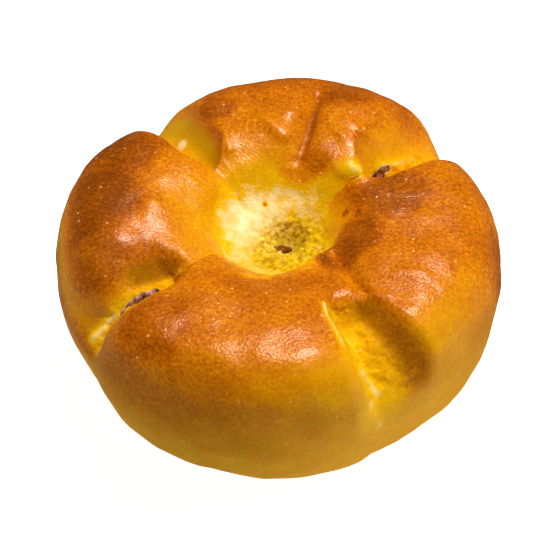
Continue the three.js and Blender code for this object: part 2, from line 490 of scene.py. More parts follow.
    def relief(self, nodes: Nodes, blister: Socket, crumb: Socket) -> Socket:
        """Fine relief: the skin's peel and blisters, its wrinkles, and the open grain where it tore.

        Args:
            nodes: the material in the making.
            blister: how plain the blisters are.
            crumb: how far the dough has torn open.

        Returns:
            The normal.
        """
        skin = nodes.bump(nodes.maths("ADD", nodes.noise(self.peel_size), blister), self.peel_depth)
        grain = nodes.add("Attribute", attribute_name=Tint.GRAIN.value).outputs["Vector"]
        pucker = nodes.add("TexNoise", {"Vector": grain, "Scale": 1.0, "Detail": 2.0}).outputs["Fac"]
        wrinkle = nodes.attribute(Tint.WRINKLE)
        puckered = nodes.bump(pucker, self.pucker_depth, Strength=wrinkle, Normal=skin)
        torn = nodes.noise(self.torn_size, 3.0)
        return nodes.bump(torn, self.torn_depth, Strength=crumb, Normal=puckered)


@dataclass(frozen=True)
class CrumbFinish:
    """Torn bread crumb.

    The inside of the dough is pale yellow and matte, with an open grain of small bubbles.
    """

    name: str = "Torn bread crumb"
    colours: Colours = ((0.0, "#b57f14"), (0.7, "#e6b840"))  # from the bubbles' middles, darkened with painted shade, to their walls
    bubble_size: float = 1.4  # mm
    bubble_depth: float = 0.4  # mm

    def material(self) -> Material:
        """Builds the node material.

        Returns:
            The material.
        """
        nodes = Nodes(self.name)
        foam = nodes.cells(self.bubble_size).outputs["Distance"]
        colour = nodes.ramp(foam, self.colours)
        relief = nodes.bump(foam, self.bubble_depth)
        return nodes.finished({"Base Color": colour, "Roughness": 0.85, "Normal": relief, "IOR": 1.4})


@dataclass(frozen=True)
class PasteFinish:
    """Sweet red bean paste.

    Boiled and sugared beans give a dark red-brown mash, wet enough to glint, with bits of bean skin in it.
    Its mash is painted pale pink, a painted glint.
    """

    name: str = "Sweet red bean paste"
    colours: Colours = ((0.4, "#4a2019"), (0.6, "#cc9488"))  # bean skin, and mash painted pale pink as a glint
    bean_size: float = 2.2  # mm
    mash_depth: float = 0.3  # mm

    def material(self) -> Material:
        """Builds the node material.

        Returns:
            The material.
        """
        nodes = Nodes(self.name)
        lump = nodes.noise(self.bean_size, 3.0)
        colour = nodes.ramp(lump, self.colours)
        relief = nodes.bump(lump, self.mash_depth)
        return nodes.finished({"Base Color": colour, "Roughness": 0.25, "Normal": relief, "IOR": 1.45})


@dataclass(frozen=True)
class FloorFinish:
    """Matte white light table: pale and even, lit a little from below, with a faint soft grain."""

    name: str = "Matte white light table"
    colours: Colours = ((0.3, "#cbcbca"), (0.7, "#cfcfce"))
    grain_size: float = 40.0  # mm
    glow: float = 0.95

    def material(self) -> Material:
        """Builds the node material.

        Returns:
            The material.
        """
        nodes = Nodes(self.name)
        return nodes.finished({
            "Base Color": nodes.ramp(nodes.noise(self.grain_size), self.colours),
            "Roughness": 0.8,
            "Specular IOR Level": 0.0,
            "Emission Color": WHITE,
            "Emission Strength": self.glow,
        })


@dataclass
class Places:
    """Where the skin's vertices lie on the round body, with one value a vertex."""

    radius: Values
    height: Values
    azimuth: Values  # degrees from +X
    petal: Values  # which petal, counted as in BunForm.petals
    along: Values  # -1 at the slit before the petal, 1 at the slit after it
    on_top: Values  # inside the ring of the crests
    outward: Values  # 0 inside that ring, 1 where the body is widest and below

    def angle_from(self, azimuth: float) -> Values:
        """Signed angles in degrees, from -180 to 180, from an azimuth."""
        return (self.azimuth - azimuth + 180.0) % 360.0 - 180.0


@dataclass(frozen=True)
class Section:
    """Section of a round body: a flat base, a full flank up to a ring of crests, and a dip inside it."""

    foot: float  # radius of the flat base
    bottom: float  # height of the base
    radius: float  # where the body is widest
    equator: float  # height where it is widest
    crest: float  # radius of the ring of highest points
    top: float  # height of that ring
    dip: float  # height of the top's middle
    foot_fullness: float
    low_side_fullness: float
    side_fullness: float
    crest_fullness: float
    rim_fullness: float
    centre_fullness: float
    base_rows: int
    underside_rows: int
    shoulder_rows: int
    dip_rows: int

    def points(self) -> list[Vector]:
        """Points from the middle of the base, up the flank, to the middle of the top.

        Returns:
            The points in the XZ plane.
        """
        steps = range(self.base_rows)
        underside = [
            (self.foot, self.bottom),
            (lerp(self.foot, self.radius, self.foot_fullness), self.bottom),
            (self.radius, lerp(self.equator, self.bottom, self.low_side_fullness)),
            (self.radius, self.equator),
        ]
        shoulder = [
            (self.radius, self.equator),
            (self.radius, lerp(self.equator, self.top, self.side_fullness)),
            (lerp(self.crest, self.radius, self.crest_fullness), self.top),
            (self.crest, self.top),
        ]
        dip = [
            (self.crest, self.top),
            (lerp(self.crest, 0.0, self.rim_fullness), self.top),
            (lerp(0.0, self.crest, self.centre_fullness), self.dip),
            (0.0, self.dip),
        ]
        return [
            *(Vector((self.foot * step / self.base_rows, 0.0, self.bottom)) for step in steps),
            *curve_points(underside, self.underside_rows),
            *curve_points(shoulder, self.shoulder_rows),
            *curve_points(dip, self.dip_rows),
            Vector((0.0, 0.0, self.dip)),
        ]


@dataclass(frozen=True)
class Shoulder:
    """Rounded shoulder of a petal beside a slit, with the slit's wall below it."""

    width: float  # degrees from the slit's middle
    roundness: float
    bake: float  # how brown the wall is
    hollow: float = 0.0  # from 0 to 1, makes the wall steep at the top and flat at the bottom
    flare: float = 1.0  # how many times as wide it is at the slit's outer end
    damp: float = 0.0  # painted shade on the wall, which also makes it matte


@dataclass(frozen=True)
class Slit:
    """Slit cut from the top between two petals, with a seam from it to the pit."""

    azimuth: float
    depth: float
    opens: float  # radius where it starts
    closes: float  # height where it ends
    fade: float  # height over which it ends
    turn_in: float  # degrees that it bends at its inner end
    turn_out: float  # degrees that it bends at its outer end
    before: Shoulder  # clockwise of it
    after: Shoulder  # anticlockwise of it
    torn: float  # how much open crumb its bottom shows
    floor: Pair  # how near to its middle the open crumb starts and is full
    seam_depth: float
    floor_shade_and_matte: float = 0.0  # painted shade on its bottom, which also makes it matte
    shade_ends: Pair = (2.0, 3.0)  # how far outward the painted shade fades and is gone; past 1 is nowhere
    flat: float = 0.0  # share of its width that is a flat bottom
    mouth: Pair = (2.5, 4.0)  # over which it deepens, each side of opens
    seam_radius: Pair = (10.0, 14.0)
    seam_width: float = 0.45  # share of the slit's width
    wall: Pair = (0.02, 0.3)  # how near to its middle the wall's own colour starts and is full
    wall_opened: float = 0.7  # how far the slit has opened where that colour is full
    torn_opened: Pair = (0.05, 0.5)  # how far it has opened where its open crumb starts and is full
    steepness: float = 3.2  # of a hollow wall's top
    rounding: float = 1.4  # of a hollow wall's edge

    def opened(self, at: Places) -> Values:
        """How far the slit has opened.

        Args:
            at: the vertices on the round body.

        Returns:
            0 where it is shut, up to 1.
        """
        inner = smooth(at.radius, self.opens - self.mouth[0], self.opens + self.mouth[1])
        outer = smooth(at.height, self.closes, self.closes + self.fade)
        return np.where(at.on_top, inner, inner * outer)

    def beside(self, at: Places, value: str) -> Values:
        """A value of the shoulder on each vertex's side of the slit."""
        before, after = (getattr(shoulder, value) for shoulder in (self.before, self.after))
        return np.where(at.angle_from(self.azimuth) < 0, before, after)

    def nearness(self, at: Places) -> Values:
        """How near to the slit's middle each vertex lies.

        Args:
            at: the vertices on the round body.

        Returns:
            0 on the petals, up to 1 on the slit's bottom.
        """
        width = self.beside(at, "width") * lerp(1.0, self.beside(at, "flare"), at.outward)
        width = width * lerp(self.seam_width, 1.0, self.opened(at))
        nearness = 1.0 - np.abs(at.angle_from(self.azimuth)) / width
        return np.clip(nearness / (1.0 - self.flat), 0.0, 1.0)

    def share(self, at: Places) -> Values:
        """How far down the wall of the slit or of its seam each vertex lies.

        Args:
            at: the vertices on the round body.

        Returns:
            0 on the petals, up to 1.
        """
        nearness = self.nearness(at)
        roundness = self.beside(at, "roundness")
        straight = 1.0 - (1.0 - nearness**roundness) ** (1.0 / roundness)
        hollow = 1.0 - (1.0 - nearness**self.rounding) ** self.steepness
        return lerp(straight, hollow, self.beside(at, "hollow"))

    def cut(self, at: Places) -> Values:
        """How deep the slit and its seam cut.

        Args:
            at: the vertices on the round body.

        Returns:
            The depth in millimetres.
        """
        opened = self.opened(at)
        seam = np.where(at.on_top, smooth(at.radius, *self.seam_radius), opened)
        return self.share(at) * lerp(self.seam_depth * seam, self.depth, opened)

    def walled(self, at: Places) -> Values:
        """How fully each vertex has the wall's own colour, from 0 to 1."""
        return smooth(self.nearness(at), *self.wall) * smooth(self.opened(at), 0.0, self.wall_opened)

    def crumb(self, at: Places) -> Values:
        """How far each vertex lies in the open crumb at the bottom, from 0 to 1."""
        floor = smooth(self.nearness(at), *self.floor)
        return self.torn * floor * smooth(self.opened(at), *self.torn_opened)

    def damp(self, at: Places) -> Values:
        """Painted shade on the wall and the bottom, which also makes them matte.

        Args:
            at: the vertices on the round body.

        Returns:
            A value from 0 to 1 for each vertex.
        """
        fade = 1.0 - smooth(at.outward, *self.shade_ends)
        floor = smooth(self.nearness(at), *self.floor)
        return self.walled(at) * fade * lerp(self.beside(at, "damp"), self.floor_shade_and_matte, floor)


@dataclass(frozen=True)
class Petal:
    """One petal: how it swells and how it baked."""

    swell: float  # at its middle
    lean: float  # more swell towards the slit after it, or less
    bake: float  # how brown its top is, as in Tint.BAKE
    rim_bake: float  # how brown it is at the pit
    browns: Pair  # radii from and to which it browns, out from the pit
    pucker: float  # how wrinkled its skin is, from 0 to 1


@dataclass(frozen=True)
class Fold:
    """Fold that parts the back petal into two lobes."""

    azimuth: float = 77.0
    depth: float = 2.6
    half_width: float = 2.6
    radius: Pair = (15.0, 25.0)
    height: Pair = (39.5, 42.4)

    def cut(self, at: Places) -> Values:
        """How deep the fold cuts.

        Args:
            at: the vertices on the round body.

        Returns:
            The depth in millimetres.
        """
        distance = np.radians(at.angle_from(self.azimuth)) * at.radius
        along = np.where(at.on_top, smooth(at.radius, *self.radius), smooth(at.height, *self.height))
        return self.depth * along * bell(distance, self.half_width)


@dataclass(frozen=True)
class Pit:
    """Pit pressed into the middle of the top, with a sunk, spongy side and a small hole."""

    wall: Pair = (11.0, 17.3)
    depth: float = 4.0
    shift: Pair = (-0.5, 1.5)
    shift_radius: Pair = (10.0, 28.0)
    lobe_azimuth: float = 308.0  # where the front petal's rim reaches into the pit
    lobe_width: float = 30.0  # degrees
    lobe: float = 0.28  # share of the pit's radius that it takes
    gentle_azimuth: float = 65.0  # where the pit's wall is gentlest
    gentle_width: float = 75.0  # degrees
    gentle: float = 0.3  # how much wider the wall is there
    sponge: Pair = (2.2, 0.8)  # middle of the sunk side
    sponge_radius: Pair = (5.5, 12.0)
    sponge_depth: float = 1.6
    dimple: Pair = (2.0, 4.2)  # middle of the dimple round the hole
    dimple_radius: Pair = (0.4, 5.6)
    dimple_depth: float = 2.8
    damp: Pair = (3.8, 4.8)  # middle of the painted shade behind the hole, which is also matte
    shade_radius: float = 3.3
    deepest_shade: float = 0.55
    baked: float = 0.17  # how far it has browned, as in Tint.BAKE
    cream: Pair = (-5.0, 7.0)  # middle of the palest dough
    cream_radius: float = 8.0
    cream_bake: float = -0.15  # how much less that has browned
    sponge_bake: float = 0.05  # how much more the sunk side has browned
    blotch: float = 0.1  # how uneven its browning is
    blotch_size: float = 2.4
    pale_middle: Pair = (-1.6, 2.2)  # patch that hardly browned
    pale_half: Pair = (13.0, 14.4)
    pale_squareness: float = 3.5
    pale_edge: Pair = (0.8, 1.1)  # shares of its half width from and to which it fades
    ragged: float = 0.12  # share of its half width by which its edge wavers
    ragged_size: float = 3.0

    def depth_at(self, at: Places, points: Values) -> Values:
        """How far the pit is sunk.

        Args:
            at: the vertices on the round body.
            points: their points on the skin.

        Returns:
            The depth in millimetres.
        """
        narrowed = 1.0 - self.lobe * bell(at.angle_from(self.lobe_azimuth), self.lobe_width)
        gentle = 1.0 + self.gentle * bell(at.angle_from(self.gentle_azimuth), self.gentle_width)
        pit = 1.0 - smooth(at.radius / narrowed, self.wall[0], self.wall[1] * gentle)
        dimple = 1.0 - smooth(reach(points, self.dimple), *self.dimple_radius)
        return self.depth * pit + self.sponge_depth * self.spongy(at, points) + self.dimple_depth * dimple

    def bake(self, at: Places, points: Values) -> Values:
        """How far the pit has browned.

        Args:
            at: the vertices on the round body.
            points: their points on the skin.

        Returns:
            A value of about 0 to 1 for each vertex.
        """
        cream = self.cream_bake * bell(reach(points, self.cream), self.cream_radius)
        even = self.baked + cream + self.sponge_bake * self.spongy(at, points)
        return even + self.blotch * lumps(points, self.blotch_size, seed=6.0)

    def shade_behind_hole(self, points: Values) -> Values:
        """Painted shade behind the hole, which also makes it matte, from 0 to 1."""
        return self.deepest_shade * bell(reach(points, self.damp), self.shade_radius)

    def pale(self, at: Places, points: Values) -> Values:
        """Which vertices lie in the pale patch.

        Args:
            at: the vertices on the round body.
            points: their points on the skin.

        Returns:
            1 in the patch, falling to 0 outside it.
        """
        across = np.abs(points[:, 0] - self.pale_middle[0]) / self.pale_half[0]
        deep = np.abs(points[:, 1] - self.pale_middle[1]) / self.pale_half[1]
        out = (across**self.pale_squareness + deep**self.pale_squareness) ** (1.0 / self.pale_squareness)
        out = out + self.ragged * lumps(points, self.ragged_size, seed=4.0)
        return np.where(at.on_top, 1.0 - smooth(out, *self.pale_edge), 0.0)

    def spongy(self, at: Places, points: Values) -> Values:
        """1 in the sunk, spongy side of the pit, 0 outside it."""
        return np.where(at.on_top, 1.0 - smooth(reach(points, self.sponge), *self.sponge_radius), 0.0)


@dataclass(frozen=True)
class BunForm:
    """Form of the bun's skin: a round body with swollen petals, slits, a fold and a pit."""

    body: Section = Section(
        foot=33.0, bottom=0.0, radius=50.0, equator=27.0, crest=31.0, top=42.4, dip=37.5,
        foot_fullness=0.54, low_side_fullness=0.525, side_fullness=0.715,
        crest_fullness=0.685, rim_fullness=0.38, centre_fullness=0.45,
        base_rows=8, underside_rows=40, shoulder_rows=60, dip_rows=88,
    )
    # the darkening that shoulders and floors give their walls is painted shade, which also makes them matte
    slits: tuple[Slit, ...] = (
        # between the right and the back petal
        Slit(
            azimuth=36.5, depth=9.0, opens=25.5, closes=27.0, fade=14.0, turn_in=2.0, turn_out=0.0,
            before=Shoulder(9.0, 1.7, 0.4), after=Shoulder(18.0, 1.3, 0.45, hollow=0.3),
            torn=0.8, floor=(0.5, 0.85), seam_depth=0.0, wall=(0.05, 0.6),
        ),
        # between the back and the left petal
        Slit(
            azimuth=130.5, depth=9.2, opens=25.5, closes=27.0, fade=14.0, turn_in=-2.0, turn_out=0.0,
            before=Shoulder(14.0, 1.25, 0.24, hollow=0.4, damp=0.65), after=Shoulder(7.0, 1.8, 0.5),
            torn=0.3, floor=(0.5, 0.85), seam_depth=0.4, wall=(0.12, 0.4),
        ),
        # between the left and the front petal
        Slit(
            azimuth=215.0, depth=7.5, opens=25.5, closes=25.0, fade=11.0, turn_in=-2.0, turn_out=-2.0,
            before=Shoulder(26.0, 1.4, 0.55, hollow=0.5, flare=0.8, damp=1.0),
            after=Shoulder(9.0, 1.6, 0.5),
            torn=0.9, floor=(0.66, 0.8), seam_depth=0.4, shade_ends=(0.2, 0.6), mouth=(3.0, 5.5),
            wall=(0.36, 0.5), seam_width=0.8, steepness=5.0, rounding=2.6,
        ),
        # between the front and the right petal
        Slit(
            azimuth=295.5, depth=7.0, opens=27.0, closes=22.0, fade=21.0, turn_in=10.0, turn_out=2.0,
            before=Shoulder(8.5, 1.5, 0.35, flare=1.1),
            after=Shoulder(18.0, 1.2, 0.66, hollow=0.7, damp=0.85),
            torn=0.8, floor=(0.45, 0.85), seam_depth=0.0, floor_shade_and_matte=0.1, flat=0.2, mouth=(3.0, 9.0),
            seam_width=0.9,
        ),
    )
    # the back, the left, the front and the right petal, each after the slit with the same place in the list
    petals: tuple[Petal, ...] = (
        Petal(swell=3.9, lean=-2.0, bake=0.78, rim_bake=0.25, browns=(15.0, 28.0), pucker=0.1),
        # the left petal darkens out over its outer flank: real browning, and painted shade on the side away
        # from the light
        Petal(swell=2.0, lean=-2.2, bake=1.25, rim_bake=0.36, browns=(8.0, 50.0), pucker=0.15),
        Petal(swell=2.5, lean=0.2, bake=0.84, rim_bake=0.58, browns=(12.5, 23.0), pucker=0.15),
        Petal(swell=1.2, lean=0.6, bake=0.88, rim_bake=0.36, browns=(12.5, 20.0), pucker=0.5),
    )
    fold: Fold = Fold()
    pit: Pit = Pit()
    core_radius: float = 18.0  # ring inside the dough that the skin is moved to or from
    core_height: float = 16.0
    squareness: float = 4.0  # keeps the swell full until close to the slits
    swell_height: Pair = (0.0, 14.0)
    swell_radius: Pair = (8.0, 29.0)
    lift: float = 1.1  # how much fuller the petals' outer shoulders are
    lift_radius: float = 41.0
    lift_width: float = 7.0
    lift_height: Pair = (27.0, 36.0)
    turn_radius: Pair = (16.0, 30.0)
    crowding: float = 0.5  # how far columns are drawn from the petals' middles to the slits

    def places(self, points: Values) -> Places:
        """Reads the round body's vertices.

        Args:
            points: the vertices, one row of millimetres each.

        Returns:
            Where they lie.
        """
        radius = np.hypot(points[:, 0], points[:, 1])
        height = points[:, 2]
        count = len(self.slits)
        step = np.arctan2(points[:, 1], points[:, 0]) / (2 * math.pi) % 1.0 * count
        petal = np.floor(step).astype(int) % count
        even = 2.0 * (step % 1.0) - 1.0
        along = lerp(even, np.sin(even * math.pi / 2), self.crowding)
        start = np.array([slit.azimuth for slit in self.slits])
        span = (np.roll(start, -1) - start) % 360.0
        azimuth = start[petal] + span[petal] * (along + 1.0) / 2.0
        on_top = (height > self.body.equator) & (radius <= self.body.crest + WELD)
        shoulder = smooth(radius, self.body.crest, self.body.radius)
        outward = np.where(height < self.body.equator, 1.0, shoulder)
        return Places(radius, height, azimuth, petal, along, on_top, outward)

    def skin(self, at: Places) -> Values:
        """Moves the round body's vertices to the bun's skin.

        Args:
            at: where the vertices lie on the round body.

        Returns:
            The skin's points, one row of millimetres each.
        """
        cut = np.max([slit.cut(at) for slit in self.slits], axis=0) + self.fold.cut(at)
        inward = cut - self.swell(at)
        to_core = np.stack([self.core_radius - at.radius, self.core_height - at.height])
        to_core = to_core / np.linalg.norm(to_core, axis=0)
        out = at.radius + to_core[0] * inward
        height = at.height + to_core[1] * inward
        angle = np.radians(at.azimuth + self.turn(at))
        shift = np.where(at.on_top, 1.0 - smooth(at.radius, *self.pit.shift_radius), 0.0)
        across = out * np.cos(angle) + self.pit.shift[0] * shift
        deep = out * np.sin(angle) + self.pit.shift[1] * shift
        points = np.stack([across, deep, height], axis=1)
        points[:, 2] -= np.where(at.on_top, self.pit.depth_at(at, points), 0.0)
        return points

    def swell(self, at: Places) -> Values:
        """How far the petals swell.

        Args:
            at: the vertices on the round body.

        Returns:
            Millimetres for each vertex.
        """
        swell = pick(self.petals, "swell", at.petal) + pick(self.petals, "lean", at.petal) * at.along
        fullness = 1.0 - np.abs(at.along) ** self.squareness
        spread = smooth(at.height, *self.swell_height) * smooth(at.radius, *self.swell_radius)
        ring = bell(at.radius - self.lift_radius, self.lift_width)
        lift = self.lift * ring * smooth(at.height, *self.lift_height)
        return fullness * (swell * spread + lift)

    def turn(self, at: Places) -> Values:
        """Bend of the slits, shared out over the petal between two of them.

        Args:
            at: where the vertices lie.

        Returns:
            Degrees to turn each vertex by.
        """
        share = (at.along + 1.0) / 2.0
        after = (at.petal + 1) % len(self.slits)
        inner = lerp(pick(self.slits, "turn_in", at.petal), pick(self.slits, "turn_in", after), share)
        outer = lerp(pick(self.slits, "turn_out", at.petal), pick(self.slits, "turn_out", after), share)
        return np.where(at.on_top, inner * (1.0 - smooth(at.radius, *self.turn_radius)), outer * at.outward)


@dataclass(frozen=True)
class Groove:
    """Mark along a few points of the skin.

    It is a groove, with a negative depth a ridge, and with no depth a band that is only coloured otherwise;
    some of these colours are painted shade or painted light.
    """

    points: tuple[Point, ...]
    width: float
    depth: float
    bake: float | None = None  # how brown it is, where that differs from the skin round it
    damp: float = 0.0  # painted shade that darkens it and makes it matte, where its browning differs

    def cover(self, points: Values) -> Values:
        """How much of its depth it has at points.

        Args:
            points: where, one row of millimetres each.

        Returns:
            1 along its middle, falling to 0 beside it.
        """
        nearest = np.full(len(points), np.inf)
        for start, end in zip(self.points, self.points[1:]):
            run = np.subtract(end, start)
            share = np.clip((points - start) @ run / (run @ run), 0.0, 1.0)
            nearest = np.minimum(nearest, np.linalg.norm(points - start - share[:, None] * run, axis=1))
        return bell(2.0 * nearest, self.width)


@dataclass(frozen=True)
class Spot:
    """Round spot, darker or paler than the skin round it; some are specks and crumbs, many are painted
    shade, and one is painted light.
    """

    middle: Point
    radius: float
    bake: float  # how brown it is
    damp: float = 0.0  # painted shade that darkens it and makes it matte
    core: float = 0.5  # share of its radius that it covers fully

    def cover(self, points: Values) -> Values:
        """How fully it covers points, from 0 to 1."""
        distance = np.linalg.norm(points - np.array(self.middle), axis=1)
        return 1.0 - smooth(distance, self.core * self.radius, self.radius)


@dataclass(frozen=True)
class Tear:
    """Lens-shaped tear along a slit, down to the paste."""

    azimuth: float
    radius: float
    height: float
    length: float
    width: float
    depth: float
    slope: float = 18.0  # degrees that it falls outwards
    turn: float = 0.0  # degrees that it is turned from straight outwards
    raggedness: float = 0.35  # mm that its edge wavers by
    rag_size: float = 1.2  # mm, how long the rags of its edge are
    seed: float = 3.0

    def lens(self, shrink: float = 0.0, sink: float = 0.0) -> Shape:
        """Shape of the tear.

        Args:
            shrink: how much smaller it is than the tear, all round.
            sink: how much lower it lies.

        Returns:
            The closed shape, in millimetres.
        """
        lens = bmesh.new()
        bmesh.ops.create_icosphere(lens, subdivisions=5, radius=1.0)
        size = (self.length / 2 - shrink, self.width / 2 - shrink, self.depth / 2 - shrink)
        bmesh.ops.scale(lens, vec=size, verts=lens.verts)
        for vert in lens.verts:
            rag = noise.noise(vert.co / self.rag_size + Vector((self.seed, 0, 0)))
            vert.co += vert.normal * self.raggedness * rag
        place = (
            Matrix.Rotation(math.radians(self.azimuth), 4, "Z")
            @ Matrix.Translation((self.radius, 0.0, self.height - sink))
            @ Matrix.Rotation(math.radians(self.turn), 4, "Z")
            @ Matrix.Rotation(math.radians(self.slope), 4, "Y")
        )
        bmesh.ops.transform(lens, matrix=place, verts=lens.verts)
        return lens


@dataclass(frozen=True)
class BeanPaste:
    """Bean paste inside the dough: low under the pit, high under the petals, pressed up into the tears."""

    tears: tuple[Tear, ...]
    section: Section = Section(
        foot=24.0, bottom=17.0, radius=39.0, equator=25.0, crest=26.0, top=32.2, dip=25.5,
        foot_fullness=0.6, low_side_fullness=0.6, side_fullness=0.7,
        crest_fullness=0.6, rim_fullness=0.5, centre_fullness=0.4,
        base_rows=2, underside_rows=20, shoulder_rows=20, dip_rows=20,
    )
    columns: int = 120
    lump_size: float = 5.0
    lump_depth: float = 0.5
    clearance: float = 0.3  # between the paste and the dough round it
    press_clearance: float = 0.35
    press_sink: float = 0.6  # how far the pressed-up paste stays below the tear's own shape

    def cake(self, clearance: float = 0.0) -> Shape:
        """The paste, or with a clearance the room for it.

        Args:
            clearance: how much larger the shape is than the paste.

        Returns:
            The closed shape, in millimetres.
        """
        paste = self.section
        room = replace(
            paste,
            radius=paste.radius + clearance,
            bottom=paste.bottom - clearance,
            top=paste.top + clearance,
            dip=paste.dip + clearance,
        )
        return revolve(room.points(), self.columns)

    def build(self, finish: Material) -> Piece:
        """Builds the paste and presses it up into the tears.

        Args:
            finish: its material.

        Returns:
            The finished piece.
        """
        cake = self.cake()
        for vert in cake.verts:
            vert.co -= vert.normal * self.lump_depth * (0.5 + 0.5 * noise.noise(vert.co / self.lump_size))
        paste = finished(cake, "bean_paste", [finish])
        for tear in self.tears:
            pressed = finished(tear.lens(self.press_clearance, self.press_sink), "pressed_paste", [finish])
            combine(paste, pressed, Cut.ADD)
        weld(paste.data)
        paste.data.shade_smooth()
        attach(paste, "root")
        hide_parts("bean_filling")
        return paste


